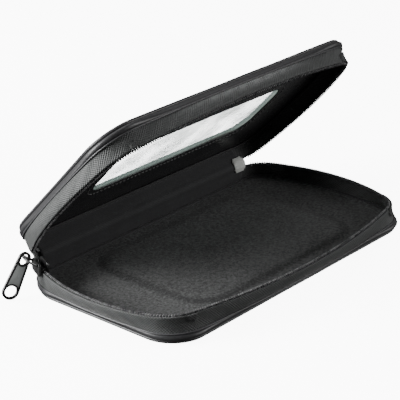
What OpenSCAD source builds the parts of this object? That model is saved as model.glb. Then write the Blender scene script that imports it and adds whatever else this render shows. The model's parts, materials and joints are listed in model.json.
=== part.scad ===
// Zip-round pen case with a windowed lid, in millimetres.
// The case lies on Z = 0 with its hinge along X at the back (+Y) and its mouth towards -Y.
// Base and lid are made alike: the lid is the base mirrored over the zip line, with a window.

/* [Panels] */
// Length of the flat panels, along the hinge
panel_length = 176; // [160:1:200]
// Width of the flat panels, from hinge to mouth
panel_width = 94; // [88:1:100]
// Corner radius of the panels
panel_radius = 18; // [14:1:20]
// Thickness of a cover with its padding
cover_t = 3.1; // [2.8:0.1:3.6]
// Thickness of the stitched edge round a cover
flange_t = 1.5; // [1.2:0.1:1.8]
// Width of the stitched edge round a cover
flange_w = 5; // [4:0.5:7]
// Thickness of the stiffening board
board_t = 1; // [0.8:0.1:1.4]
// Thickness of the lining
lining_t = 0.8; // [0.6:0.1:1]

/* [Window] */
// Length of the window
window_length = 113; // [90:1:125]
// Width of the window
window_width = 37; // [25:1:45]
// Corner radius of the window
window_radius = 8; // [5:1:12]
// Thickness of the clear film
film_t = 0.4; // [0.2:0.1:0.6]

/* [Floor pad] */
// Length of the raised pad under the base lining
pad_length = 114; // [90:1:130]
// Width of the raised pad
pad_width = 71; // [50:1:76]
// Height of the raised pad
pad_h = 1; // [0.6:0.1:1.5]

/* [Zip] */
// Height of the zip line above the table
rim_h = 14; // [13:0.5:18]
// Angle that the lid is open
lid_open = 47; // [0:1:180]
// Radius of the bowed zip line at both ends
side_r = 92.5; // [92:0.5:94]
// How far the zip line bows out past the middle of the front edge
front_bow = 6.5; // [5:0.5:8]
// Radius of the bow along the front
front_r = 303; // [260:1:400]
// Radius of the zip line's front corners
corner_r = 20; // [17:1:22]
// Thickness of the zip tape
tape_t = 0.6; // [0.5:0.1:0.8]
// Height of the coil across the tape
coil_h = 1.6; // [1.4:0.1:1.8]
// Thickness of the coil beside the tape
coil_t = 1.3; // [1.1:0.1:1.5]
// Gap left between the two coils for the slider's wedge
coil_gap = 2; // [1.8:0.1:2.4]

/* [Slider] */
// Place of the slider on the left end of the zip line, in degrees back from the middle
slider_at = 24.5; // [-16:0.5:24.5]
// Length of the slider
slider_length = 10.4; // [9:0.2:10.4]
// Height of the slider's plates
slider_h = 7.2; // [6.4:0.2:7.6]
// Thickness of each plate
plate_t = 0.9; // [0.8:0.1:1.1]
// Width of the pull tab at its tip
tab_width = 8.2; // [7.6:0.2:8.4]
// Distance from the bail to the hole in the tip of the pull tab
tab_reach = 16.7; // [16:0.1:17.5]
// Thickness of the pull tab
tab_t = 1.2; // [1:0.1:1.6]
// Radius of the hole in the tip of the pull tab
tab_hole_r = 2.75; // [2.4:0.05:2.8]

/* [Hidden] */
$fn = 64;

back_y = panel_width / 2;
hinge_y = back_y + 0.25;          // the fold, just outside the panels so the lid lies flat behind
side_c = [-1.25, 0];              // centre of the bowed ends of the zip line
front_c = [0, front_r - back_y - front_bow];
left_end = 28;                    // where the side bow ends at the back, degrees, left and right
right_end = 24;
tape_top = rim_h - coil_gap / 2;
foot_t = 0.5;                     // seam allowance of tape and spine, turned inwards
foot_w = 4;
piping_r = flange_t / 2;
skin_t = 0.8;                     // leatherette over the padding
board_in = 4.3;                   // how far each layer stands in from the panel's edge
lining_in = 3;
binding_w = 2.5;
binding_t = 0.6;
pad_at = [2, 0.5];
pad_r = 14;
film_lap = 5.5;                   // film caught under the edge of the window
hinge_gap = 0.3;
spine_t = 0.8;
spine_lining_t = 0.6;
spine_y = hinge_y - 0.2;          // outer face of the spine
ribbon_x = 59.2;
ribbon_w = 8.8;
ribbon_h = 4.5;
ribbon_t = 0.4;
outer_gap = 0.8;                  // slider to tape, outside
inner_gap = 0.45;                 // slider to coil, inside
plate_out = outer_gap + plate_t;
plate_in = tape_t + coil_t + inner_gap;
wedge_gap = 0.2;
wedge_length = 2.8;
bail_y = plate_out + 4.9;
bail_z = rim_h + 5.4;
bail_r = 0.6;
bail_reach = 3.6;
bail_leg = 1.2;
bail_foot_z = rim_h + 1.9;        // where the bail's legs stand on the outer plate
eye_r = 1.5;                      // half width of the opening that hangs on the bail
eye_from = -0.4;                  // the opening's two ends, from the bail towards the tip
eye_to = 1.6;
top_r = 3;                        // the tab narrows to this half width at its top
tab_rim = 1.25;
tab_panel = 0.25;                 // depth of the sunk panel on each face
tip_clear = 0.3;
tab_lean = acos((bail_z - tip_clear - tab_width / 2) / tab_reach);
arc_steps = 6;
long_steps = 14;
wall_levels = 8;

// Points on an arc; the angle starts at +Y and turns towards the end named by way, -1 left, 1 right.
function arc(c, r, way, from, to, n) =
  [for (i = [0:n - 1]) let (a = from + (to - from) * i / n) c + r * [way * sin(a), cos(a)]];
function angle_of(v) = acos(v[1] / norm(v));

// Centre of a front corner: it touches the side bow and the front bow from inside.
function corner_c(way) =
  let (ra = side_r - corner_r, rb = front_r - corner_r, v = front_c - side_c, d = norm(v),
       e = v / d, a = (ra * ra - rb * rb + d * d) / (2 * d), h = sqrt(ra * ra - a * a))
  side_c + a * e - way * h * [-e[1], e[0]];

// One half of the zip line, from its back end to the middle of the front, drawn d further in.
function half_rim(way, end, d) =
  let (side_end = side_c + side_r * [way * cos(end), sin(end)],
       back_r = (hinge_y - side_end[1]) / (1 - sin(end)),
       back_c = side_end - back_r * [way * cos(end), sin(end)],
       c = corner_c(way), to_side = angle_of(c - side_c), to_front = angle_of(c - front_c))
  concat(arc(back_c, back_r - d, way, 0, 90 - end, arc_steps),
         arc(side_c, side_r - d, way, 90 - end, to_side, long_steps),
         arc(c, corner_r - d, way, to_side, to_front, arc_steps),
         arc(front_c, front_r - d, way, to_front, 180, long_steps));

// The whole zip line, from the left end of the hinge round the front to its right end.
function rim(d) =
  let (right = half_rim(1, right_end, d))
  concat(half_rim(-1, left_end, d), [[0, -back_y - front_bow + d]],
         [for (i = [len(right) - 1:-1:0]) right[i]]);

// The point of the panel's edge, drawn d further in, that lies nearest to p.
function seam_near(p, d) =
  let (hx = panel_length / 2 - panel_radius, hy = panel_width / 2 - panel_radius,
       c = [min(max(p[0], -hx), hx), min(max(p[1], -hy), hy)], v = p - c)
  c + (panel_radius - d) * v / norm(v);
function seam(d) = [for (p = rim(0)) seam_near(p, d)];

// Part of a path, between two of its points, and the same backwards.
function part(path, from, to) = [for (i = [from:to]) path[i]];
function back(path) = [for (i = [len(path) - 1:-1:0]) path[i]];

module rounded(length, width, r) {
  square([length - 2 * r, width], center = true);
  square([length, width - 2 * r], center = true);
  for (x = [-1, 1], y = [-1, 1])
    translate([x * (length / 2 - r), y * (width / 2 - r)]) circle(r);
}

// A flat layer with the panel's outline drawn in on every side.
module layer(in, z, h) {
  translate([0, 0, z])
    linear_extrude(h) rounded(panel_length - 2 * in, panel_width - 2 * in, panel_radius - in);
}

module window_cut(grow, z, h) {
  translate([0, 0, z])
    linear_extrude(h)
      rounded(window_length + 2 * grow, window_width + 2 * grow, window_radius + grow);
}

// A band between two lines that run side by side.
module band(outer, inner, z, h) {
  translate([0, 0, z]) linear_extrude(h) polygon(concat(outer, back(inner)));
}

// Lid pieces are drawn as base pieces, turned over the zip line and swung up at the hinge.
module on_lid() {
  translate([0, hinge_y, rim_h])
    rotate([-lid_open, 0, 0])
      translate([0, -hinge_y, rim_h])
        mirror([0, 0, 1]) children();
}

module cover() {
  difference() {
    union() {
      layer(flange_w, 0, cover_t);
      layer(flange_t, cover_t - flange_t, flange_t);
    }
    layer(flange_w + skin_t, skin_t, cover_t);
  }
}

module padding() {
  layer(flange_w + skin_t, skin_t, cover_t - skin_t);
}

module board() {
  layer(board_in, cover_t, board_t);
}

// The raised pad in the middle of the floor, drawn grow larger on every side.
module pad(grow, z, h) {
  translate([pad_at[0], pad_at[1], z])
    linear_extrude(h) rounded(pad_length + 2 * grow, pad_width + 2 * grow, pad_r + grow);
}

module binding() {
  z = cover_t + board_t + lining_t;
  difference() {
    layer(lining_in, z, binding_t);
    layer(lining_in + binding_w, z - 1, binding_t + 2);
  }
}

module piping() {
  hx = panel_length / 2 - panel_radius;
  hy = panel_width / 2 - panel_radius;
  ring_r = panel_radius - piping_r;
  translate([0, 0, cover_t - piping_r]) {
    for (x = [-1, 1], y = [-1, 1])
      translate([x * hx, y * hy, 0])
        rotate([0, 0, x > 0 ? (y > 0 ? 0 : 270) : (y > 0 ? 90 : 180)])
          rotate_extrude(angle = 90) translate([ring_r, 0]) circle(piping_r);
    for (side = [-1, 1]) {
      translate([-hx, side * (hy + ring_r), 0])
        rotate([0, 90, 0]) cylinder(h = 2 * hx, r = piping_r);
      translate([side * (hx + ring_r), hy, 0])
        rotate([90, 0, 0]) cylinder(h = 2 * hy, r = piping_r);
    }
  }
}

// The tape leaves the panel's edge at a slant and stands upright along the coil.
module tape() {
  outer_rim = rim(0);
  inner_rim = rim(tape_t);
  outer_seam = seam(0);
  inner_seam = seam(tape_t);
  n = len(outer_rim);
  rise = tape_top - coil_h - cover_t;
  points = [for (side = [0, 1], k = [0:wall_levels - 1], i = [0:n - 1])
    let (s = min(1, k / (wall_levels - 2)), f = sin(90 * s),
         z = k == wall_levels - 1 ? tape_top : cover_t + rise * s,
         low = side == 0 ? outer_seam[i] : inner_seam[i],
         high = side == 0 ? outer_rim[i] : inner_rim[i])
    [low[0] + (high[0] - low[0]) * f, low[1] + (high[1] - low[1]) * f, z]];
  inside = wall_levels * n;
  top = (wall_levels - 1) * n;
  walls = [for (k = [0:wall_levels - 2], i = [0:n - 2], side = [0, 1])
    let (a = k * n + i, b = a + n, j = inside)
    side == 0 ? [a, b, b + 1, a + 1] : [j + a, j + a + 1, j + b + 1, j + b]];
  edges = [for (i = [0:n - 2], side = [0, 1])
    let (a = top + i, j = inside)
    side == 0 ? [a, j + a, j + a + 1, a + 1] : [i, i + 1, j + i + 1, j + i]];
  ends = [for (k = [0:wall_levels - 2], side = [0, 1])
    let (a = k * n + (side == 0 ? 0 : n - 1), j = inside)
    side == 0 ? [a, j + a, j + a + n, a + n] : [a, a + n, j + a + n, j + a]];
  polyhedron(points, concat(walls, edges, ends));
  band(outer_seam, seam(foot_w), cover_t, foot_t);
}

// Coil and stops lie on the inner face of the tape, end to end.
module coil_band(from, to, thickness) {
  outer = part(rim(tape_t), from, to);
  inner = part(rim(tape_t + thickness), from, to);
  band(outer, inner, tape_top - coil_h, coil_h);
}

module coil() {
  coil_band(2, len(rim(0)) - 2, coil_t);
}

module start_stop() {
  coil_band(0, 2, coil_t + 0.3);
}

module end_stop() {
  coil_band(len(rim(0)) - 2, len(rim(0)) - 1, coil_t + 0.3);
}

// A wall along the hinge, between the two ends of the zip tape.
module back_wall(y, z, thickness) {
  half_low = panel_length / 2 - panel_radius;
  top = rim_h - hinge_gap;
  left = rim(0)[0][0];
  right = rim(0)[len(rim(0)) - 1][0];
  low_left = -half_low + (left + half_low) * (z - cover_t) / (top - cover_t);
  translate([0, y, 0])
    rotate([90, 0, 0])
      linear_extrude(thickness)
        polygon([[low_left, z], [right - 0.2, z], [right - 0.2, top], [left + 0.2, top]]);
}

module spine() {
  half_low = panel_length / 2 - panel_radius;
  back_wall(spine_y, cover_t, spine_t);
  foot_y = back_y - foot_w;
  translate([-half_low, foot_y, cover_t])
    cube([2 * half_low - 2, spine_y - spine_t - foot_y, foot_t]);
}

module spine_lining() {
  back_wall(spine_y - spine_t, cover_t + foot_t, spine_lining_t);
}

module ribbon() {
  translate([ribbon_x, spine_y - spine_t - spine_lining_t - ribbon_t, rim_h - hinge_gap - ribbon_h])
    cube([ribbon_w, ribbon_t, ribbon_h]);
}

// Slider pieces: X along the zip line, Y outwards from the tape, Z up.
module at_slider() {
  translate([side_c[0], side_c[1], 0])
    rotate([0, 0, 90 - slider_at])
      translate([0, side_r, 0]) children();
}

module plate(y) {
  translate([0, y + plate_t, rim_h])
    rotate([90, 0, 0]) linear_extrude(plate_t) rounded(slider_length, slider_h, 1.6);
}

module base_cover() { color("#232325") cover(); }
module base_padding() { color("#4a4a4c") padding(); }
module base_board() { color("#6b5f52") board(); }
module base_foam() { color("#4a4a4c") pad(0, cover_t + board_t, pad_h); }
module base_binding() { color("#303032") binding(); }
module base_piping() { color("#2a2a2c") piping(); }
module base_tape() { color("#3a3a3c") tape(); }
module base_coil() { color("#1c1c1e") coil(); }
module base_start_stop() { color("#1c1c1e") start_stop(); }
module base_end_stop() { color("#1c1c1e") end_stop(); }
module base_spine() { color("#2c2c2e") spine(); }
module base_spine_lining() { color("#333335") spine_lining(); }
module base_ribbon() { color("#c9cccb") ribbon(); }

module base_lining() {
  z = cover_t + board_t;
  color("#3d3d3f")
    difference() {
      union() {
        layer(lining_in, z, lining_t);
        pad(lining_t, z, pad_h + lining_t);
      }
      pad(0, z - 1, pad_h + 1);
    }
}

module lid_cover() {
  color("#232325") on_lid() difference() {
    cover();
    window_cut(0, -1, cover_t + 2);
  }
}

module lid_padding() {
  color("#4a4a4c") on_lid() difference() {
    padding();
    window_cut(0, 0, cover_t + 1);
  }
}

module lid_board() {
  color("#6b5f52") on_lid() difference() {
    board();
    window_cut(0, cover_t - 1, board_t + 2);
  }
}

module lid_window() {
  color("#dfe6e4", 0.35) on_lid() window_cut(film_lap, cover_t + board_t, film_t);
}

module lid_lining() {
  z = cover_t + board_t;
  color("#1d1d1f") on_lid() difference() {
    layer(lining_in, z, lining_t);
    window_cut(film_lap, z - 1, film_t + 1);
    window_cut(0, z - 1, lining_t + 2);
  }
}

module lid_binding() { color("#303032") on_lid() binding(); }
module lid_piping() { color("#2a2a2c") on_lid() piping(); }
module lid_tape() { color("#3a3a3c") on_lid() tape(); }
module lid_coil() { color("#1c1c1e") on_lid() coil(); }
module lid_start_stop() { color("#1c1c1e") on_lid() start_stop(); }
module lid_end_stop() { color("#1c1c1e") on_lid() end_stop(); }
module lid_spine() { color("#2c2c2e") on_lid() spine(); }
module lid_spine_lining() { color("#333335") on_lid() spine_lining(); }
module lid_ribbon() { color("#c9cccb") on_lid() ribbon(); }

module slider_body() {
  color("#1a1a1b") at_slider() {
    plate(outer_gap);
    plate(-plate_in - plate_t);
    translate([-slider_length / 2, -plate_in - plate_t / 2, tape_top + wedge_gap])
      cube([wedge_length, plate_in + outer_gap + plate_t, coil_gap - 2 * wedge_gap]);
  }
}

// One leg seen along the zip line: X outwards from the tape, Y up.
module bail_leg_shape() {
  foot = [plate_out, bail_foot_z];
  head = [bail_y, bail_z];
  along = (head - foot) / norm(head - foot);
  across = [-along[1], along[0]] * bail_r;
  polygon([foot - [0, bail_r], head - across, head + across, foot + [0, bail_r]]);
  translate(head) circle(bail_r);
}

module slider_bail() {
  color("#1a1a1b") at_slider() {
    translate([-bail_reach, bail_y, bail_z])
      rotate([0, 90, 0]) cylinder(h = 2 * bail_reach, r = bail_r);
    for (side = [-1, 1])
      translate([side * bail_reach - bail_leg / 2, 0, 0])
        rotate([90, 0, 90]) linear_extrude(bail_leg) bail_leg_shape();
  }
}

// A flat strip with round ends, drawn along Y between two centres.
module strip(from_r, from, to_r, to) {
  lean = asin((to_r - from_r) / (to - from));
  edge = [cos(lean), -sin(lean)];
  translate([0, from]) circle(from_r);
  translate([0, to]) circle(to_r);
  polygon([[-edge[0] * from_r, from + edge[1] * from_r], [edge[0] * from_r, from + edge[1] * from_r],
           [edge[0] * to_r, to + edge[1] * to_r], [-edge[0] * to_r, to + edge[1] * to_r]]);
}

module tab_outline(inset) {
  strip(top_r - inset, eye_from - eye_r - tab_rim + top_r, tab_width / 2 - inset, tab_reach);
}

module tab_openings(grow) {
  strip(eye_r + grow, eye_from, eye_r + grow, eye_to);
  translate([0, tab_reach]) circle(tab_hole_r + grow);
}

// The tab hangs from the bail at Y = 0 of its own drawing and points along +Y.
module pull_tab() {
  color("#202021") at_slider()
    translate([-tab_t / 2, bail_y, bail_z])
      rotate([tab_lean - 90, 0, 0])
        rotate([0, 90, 0])
          difference() {
            linear_extrude(tab_t) tab_outline(0);
            translate([0, 0, -1]) linear_extrude(tab_t + 2) tab_openings(0);
            for (z = [-1, tab_t - tab_panel])
              translate([0, 0, z]) linear_extrude(1 + tab_panel) difference() {
                tab_outline(tab_rim);
                tab_openings(0.8 * tab_rim);
              }
          }
}

base_cover();
base_padding();
base_board();
base_foam();
base_lining();
base_binding();
base_piping();
base_tape();
base_coil();
base_start_stop();
base_end_stop();
base_spine();
base_spine_lining();
base_ribbon();
lid_cover();
lid_padding();
lid_board();
lid_window();
lid_lining();
lid_binding();
lid_piping();
lid_tape();
lid_coil();
lid_start_stop();
lid_end_stop();
lid_spine();
lid_spine_lining();
lid_ribbon();
slider_body();
slider_bail();
pull_tab();
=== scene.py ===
"""A zip-round pen case, open at its hinge: two padded leatherette covers, a coil zip round
three sides, a brushed lining in the base and a clear film window in the lid."""
import json
from math import asin, acos, cos, hypot, pi, radians, sin, tau

import bpy
from mathutils import Matrix, Vector, noise


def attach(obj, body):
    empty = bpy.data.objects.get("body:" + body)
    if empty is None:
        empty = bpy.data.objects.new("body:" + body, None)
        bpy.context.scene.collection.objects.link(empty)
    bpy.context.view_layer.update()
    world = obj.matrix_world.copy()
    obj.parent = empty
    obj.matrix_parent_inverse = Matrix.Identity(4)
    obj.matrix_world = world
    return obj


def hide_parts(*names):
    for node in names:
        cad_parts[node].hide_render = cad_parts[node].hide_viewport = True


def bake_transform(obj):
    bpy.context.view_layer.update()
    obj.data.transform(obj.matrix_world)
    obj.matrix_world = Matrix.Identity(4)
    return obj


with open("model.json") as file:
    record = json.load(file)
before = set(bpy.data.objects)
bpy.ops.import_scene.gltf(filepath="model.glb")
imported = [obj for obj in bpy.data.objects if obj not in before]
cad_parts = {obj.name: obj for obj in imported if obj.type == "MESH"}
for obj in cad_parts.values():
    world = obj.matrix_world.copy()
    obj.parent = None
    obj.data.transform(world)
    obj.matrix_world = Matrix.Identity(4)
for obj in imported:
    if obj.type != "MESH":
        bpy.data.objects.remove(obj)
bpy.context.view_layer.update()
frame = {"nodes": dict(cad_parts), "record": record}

# ---------------------------------------------------------------- camera and studio
# A long lens looks down at the open case from beyond its front left corner.
# A glowing white cove stands round it, with one broad light at each side and one above.
mm = 0.001
VIEW_AZIMUTH = radians(-49.33)
VIEW_HEIGHT = radians(23.19)
VIEW_ROLL = radians(-0.309)
VIEW_DISTANCE = 782.65 * mm
VIEW_TARGET = Vector((-6.0, 10.1, 28.4)) * mm
LENS = 148.99


def look_from(azimuth, height, roll):
    """The camera's right, up and backward directions as the columns of a matrix."""
    backward = Vector((sin(azimuth) * cos(height), -cos(azimuth) * cos(height), sin(height)))
    level = Vector((cos(azimuth), sin(azimuth), 0))
    upright = backward.cross(level)
    right = level * cos(roll) + upright * sin(roll)
    up = upright * cos(roll) - level * sin(roll)
    return Matrix((right, up, backward)).transposed()


turn = look_from(VIEW_AZIMUTH, VIEW_HEIGHT, VIEW_ROLL)
camera_data = bpy.data.cameras.new("studio_camera")
camera_data.lens = LENS
camera_data.sensor_width = 36
camera_data.clip_start = 0.05
camera = bpy.data.objects.new("studio_camera", camera_data)
bpy.context.collection.objects.link(camera)
camera.matrix_world = Matrix.Translation(VIEW_TARGET + turn.col[2] * VIEW_DISTANCE) @ turn.to_4x4()
bpy.context.scene.camera = camera


class Wire:
    """One output of a shader node. Arithmetic on it adds Math nodes to the same material."""

    def __init__(self, finish, socket):
        self.finish, self.socket = finish, socket

    def maths(self, operation, *values):
        return self.finish.add("ShaderNodeMath", {"operation": operation}, dict(enumerate(values)))

    def __add__(self, other):
        return self.maths("ADD", self, other)

    def __radd__(self, other):
        return self.maths("ADD", other, self)

    def __sub__(self, other):
        return self.maths("SUBTRACT", self, other)

    def __rsub__(self, other):
        return self.maths("SUBTRACT", other, self)

    def __mul__(self, other):
        return self.maths("MULTIPLY", self, other)

    def __rmul__(self, other):
        return self.maths("MULTIPLY", other, self)

    def wave(self):
        return self.maths("SINE", self)


class Finish:
    """A material round one Principled shader; sockets that stay the same are set directly."""

    def __init__(self, name, **constants):
        self.material = bpy.data.materials.new(name)
        self.material.use_nodes = True
        self.tree = self.material.node_tree
        self.shader = self.tree.nodes["Principled BSDF"]
        for socket, value in constants.items():
            self.feed(self.shader.inputs[socket.replace("_", " ")], value)

    def feed(self, socket, value):
        if isinstance(value, Wire):
            self.tree.links.new(value.socket, socket)
        else:
            socket.default_value = value

    def add(self, kind, settings, sockets, output=0):
        node = self.tree.nodes.new(kind)
        for name, value in settings.items():
            setattr(node, name, value)
        for name, value in sockets.items():
            self.feed(node.inputs[name], value)
        return Wire(self, node.outputs[output])

    def place(self):
        return self.add("ShaderNodeTexCoord", {}, {}, "Object")

    def measure(self, attribute):
        """A number stored on the mesh, such as how far along the zip a point lies."""
        return self.add("ShaderNodeAttribute", {"attribute_name": attribute}, {}, "Fac")

    def grain(self, scale, detail=2.0, roughness=0.5):
        sockets = {"Vector": self.place(), "Scale": scale, "Detail": detail, "Roughness": roughness}
        return self.add("ShaderNodeTexNoise", {}, sockets, "Fac")

    def cells(self, scale, feature="F1", output="Distance"):
        sockets = {"Vector": self.place(), "Scale": scale}
        return self.add("ShaderNodeTexVoronoi", {"feature": feature}, sockets, output)

    def clamped(self, value, low, high):
        """value taken from low..high to 0..1, and held there."""
        sockets = {"Value": value, "From Min": low, "From Max": high}
        return self.add("ShaderNodeMapRange", {"clamp": True}, sockets)

    def mixed(self, share, first, second):
        sockets = {0: share, 6: first, 7: second}
        return self.add("ShaderNodeMix", {"data_type": "RGBA"}, sockets, 2)

    def relief(self, height, depth, strength=1.0):
        sockets = {"Height": height, "Distance": depth, "Strength": strength}
        bump = self.add("ShaderNodeBump", {}, sockets)
        self.feed(self.shader.inputs["Normal"], bump)

    def colour(self, value):
        self.feed(self.shader.inputs["Base Color"], value)

    def rough(self, value):
        self.feed(self.shader.inputs["Roughness"], value)


def cove_finish():
    finish = Finish("studio_cove", Roughness=0.9, Specular_IOR_Level=0.1, Emission_Strength=9.0,
                    Emission_Color=(1, 1, 1, 1))
    finish.colour(finish.mixed(finish.grain(20), (0.93, 0.93, 0.93, 1), (0.95, 0.95, 0.95, 1)))
    return finish.material


def new_mesh(name, points, faces, material):
    mesh = bpy.data.meshes.new(name)
    mesh.from_pydata([tuple(p) for p in points], [], faces)
    mesh.validate()
    mesh.polygons.foreach_set("use_smooth", [True] * len(mesh.polygons))
    mesh.materials.append(material)
    return link_piece(name, mesh)


def link_piece(name, mesh):
    piece = bpy.data.objects.new(name, mesh)
    bpy.context.collection.objects.link(piece)
    return piece


def loft(rings, closed=True, joined=False, ends=False):
    """Faces between lines of points that lie side by side; joined links the last to the first."""
    count = len(rings[0])
    points = [p for ring in rings for p in ring]
    faces = []
    pairs = len(rings) if joined else len(rings) - 1
    for k in range(pairs):
        a, b = k * count, (k + 1) % len(rings) * count
        for i in range(count if closed else count - 1):
            j = (i + 1) % count
            faces.append((a + i, a + j, b + j, b + i))
    if ends:
        last = (len(rings) - 1) * count
        faces.append(tuple(range(count))[::-1])
        faces.append(tuple(range(last, last + count)))
    return points, faces


def turns(count):
    """Equal angles round a full turn."""
    return [tau * k / count for k in range(count)]


COVE_REACH, COVE_BEND, COVE_TOP = 1.5, 0.5, 2.6
COVE_DROP = 0.2 * mm


def studio_cove():
    """A round white floor that turns up into a wall. It adds no light of its own to the case."""
    profile = [(mm, 0.0), (COVE_REACH, 0.0)]
    profile += [(COVE_REACH + COVE_BEND * sin(a), COVE_BEND - COVE_BEND * cos(a))
                for a in (pi / 24 * k for k in range(1, 13))]
    profile.append((COVE_REACH + COVE_BEND, COVE_TOP))
    points, faces = loft([[Vector((run * cos(a), run * sin(a), rise - COVE_DROP)) for a in turns(64)]
                          for run, rise in profile])
    cove = new_mesh("studio_cove", points, faces, cove_finish())
    cove.visible_diffuse = cove.visible_glossy = cove.visible_shadow = False


def softbox(name, place, aim, size, power):
    data = bpy.data.lights.new(name, "AREA")
    data.shape, data.energy = "RECTANGLE", power
    data.size, data.size_y = size
    light = bpy.data.objects.new(name, data)
    bpy.context.collection.objects.link(light)
    light.location = place
    light.rotation_euler = (Vector(place) - Vector(aim)).to_track_quat("Z", "Y").to_euler()


studio_cove()
softbox("left_softbox", (-0.80, 0.58, 0.36), (0, 0, 0.03), (0.6, 0.5), 36.0)
softbox("right_softbox", (0.65, -0.85, 0.35), (0, 0, 0.0), (0.6, 0.5), 7.5)
softbox("top_softbox", (0.1, 0.25, 1.1), (0, 0, 0), (1.0, 1.0), 5.0)
world = bpy.data.worlds.new("studio_world")
bpy.context.scene.world = world
world.use_nodes = True
sky = world.node_tree.nodes["Background"].inputs
sky["Color"].default_value = (1, 1, 1, 1)
sky["Strength"].default_value = 0.12

# ---------------------------------------------------------------- padded covers
# Each cover is leatherette over padding, pressed down round its edge into a flat flange
# and lock-stitched there. The lid's cover is turned in round a window.
PANEL = (88 * mm, 47 * mm, 18 * mm)
COVER_T = 3.1 * mm
WINDOW = (56.5 * mm, 18.5 * mm, 8 * mm)
RING_CORNER, RING_LONG, RING_SHORT = 14, 60, 30  # steps round a corner and along each side
HINGE = Vector(frame["record"]["behaviour"]["joints"][0]["pos_m"])
LID_OPEN = radians(47)
TO_LID = (Matrix.Translation(HINGE) @ Matrix.Rotation(-LID_OPEN, 4, "X")
          @ Matrix.Scale(-1, 4, (0, 0, 1)) @ Matrix.Translation(-HINGE))


def panel_ring(size, grow=0.0, z=0.0):
    """Points round a rounded rectangle of half sizes and corner radius size, from its right end."""
    radius = max(size[2] + grow, 6 * mm if grow < 0 else 0)
    reach = (size[0] + grow - radius, size[1] + grow - radius)
    corners = [Vector((sx * reach[0], sy * reach[1], z))
               for sx, sy in ((1, 1), (-1, 1), (-1, -1), (1, -1))]
    ring = []
    for k, corner in enumerate(corners):
        for step in range(RING_CORNER + 1):
            a = (k + step / RING_CORNER) * pi / 2
            ring.append(corner + Vector((cos(a), sin(a), 0)) * radius)
        steps = RING_LONG if k % 2 == 0 else RING_SHORT
        there = corners[(k + 1) % 4] + (ring[-1] - corner)
        ring += [ring[-1].lerp(there, step / steps) for step in range(1, steps)]
    return ring


def between(ring, other, share):
    return [a.lerp(b, share) for a, b in zip(ring, other)]


def settle(piece, side, *nodes, slot):
    """Puts a piece drawn for the base on its half of the case, in place of its CAD nodes."""
    if side == "lid":
        piece.data.transform(TO_LID)
        piece.data.flip_normals()
    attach(piece, side)
    if nodes:
        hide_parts(*nodes)


def leatherette(name, tone, roughness):
    finish = Finish(name, Specular_IOR_Level=0.4, Coat_Weight=0.04, Coat_Roughness=0.35)
    pebble = finish.cells(1150, "SMOOTH_F1")
    creases = finish.cells(520, "DISTANCE_TO_EDGE")
    broad = finish.grain(60, 3)
    dark = (tone, tone, tone * 1.06, 1)
    light = (tone * 2.1, tone * 2.1, tone * 2.2, 1)
    finish.colour(finish.mixed(finish.clamped(pebble * 0.6 + broad * 0.4, 0.25, 0.8), light, dark))
    finish.rough(roughness + broad * 0.12 + pebble * 0.1 - 0.08)
    finish.relief(1 - pebble + finish.clamped(creases, 0, 0.12) * 0.4, 0.09 * mm, 0.55)
    return finish.material


COVER_FINISH = leatherette("cover_leatherette", 0.016, 0.42)
# How far in from the seam, and how high over the outside, each line of the cover's edge lies.
COVER_EDGE = [(4.0, 2.4), (1.6, 2.35), (0.9, 2.15), (0.45, 1.75), (0.3, 1.3), (0.45, 0.85), (0.9, 0.45),
              (1.6, 0.2), (2.4, 0.12), (3.0, 0.22), (3.4, 0.32), (3.8, 0.22), (4.4, 0.1),
              (5.5, 0.04), (7.0, 0.02), (9.0, 0.01), (12.0, 0.0)]
WINDOW_TURN = [(13.0, 0.06), (9.0, 0.3), (6.5, 0.9), (5.0, 1.7), (4.2, 2.05), (3.4, 1.95), (2.2, 2.0),
               (1.0, 2.15), (0.3, 2.45), (-0.1, 2.9), (-0.2, 3.5), (0.2, 3.95)]


def cover(side):
    rings = [panel_ring(PANEL, -inset * mm, z * mm) for inset, z in COVER_EDGE]
    if side == "base":
        rings += [panel_ring(PANEL, -inset * mm, 0.0) for inset in (16.0, 24.0, 34.0, 44.0)]
        points, faces = loft(rings, ends=True)
    else:
        turned = [panel_ring(WINDOW, grow * mm, z * mm) for grow, z in WINDOW_TURN]
        rings += [between(rings[-1], turned[0], share) for share in (0.25, 0.5, 0.75)] + turned
        points, faces = loft(rings, joined=True)
    for p in points:
        if 0.1 * mm < p.z < 1.5 * mm:
            p.z = max(0.0, p.z + noise.noise(p * 38) * 0.1 * mm)
    piece = new_mesh(side + "_cover_skin", points, [f[::-1] for f in faces], COVER_FINISH)
    settle(piece, side, side + "_cover", slot="leatherette")


for side in ("base", "lid"):
    cover(side)

# ---------------------------------------------------------------- stitches
# Black bonded thread, about four stitches to the centimetre, runs round each flange in a shallow
# groove, and a second row holds the film round the window on both faces of the lid.
UP = Vector((0, 0, 1))
STITCH = 2.6 * mm
THREAD_R = 0.24 * mm
STITCH_SHARE = 0.84  # how much of each step the thread covers before it dives
STITCH_IN = 3.4 * mm
WINDOW_STITCH_OUT = (4.2 * mm, 3.2 * mm)  # from the window's edge, outside and inside the lid
# One stitch from end to end: the place along it and the thread's fullness there.
STITCH_SHAPE = [(-0.5, 0.1), (-0.42, 0.75), (-0.2, 1.0), (0.2, 1.0), (0.42, 0.75), (0.5, 0.1)]


def thread_finish():
    finish = Finish("bonded_thread", Roughness=0.55, Sheen_Weight=0.3)
    twist = (finish.grain(2600, 1) * 9).wave()
    share = finish.clamped(twist, -1, 1)
    finish.colour(finish.mixed(share, (0.03, 0.03, 0.031, 1), (0.12, 0.12, 0.122, 1)))
    finish.relief(twist, 0.05 * mm, 0.6)
    return finish.material


THREAD_FINISH = thread_finish()


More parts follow.
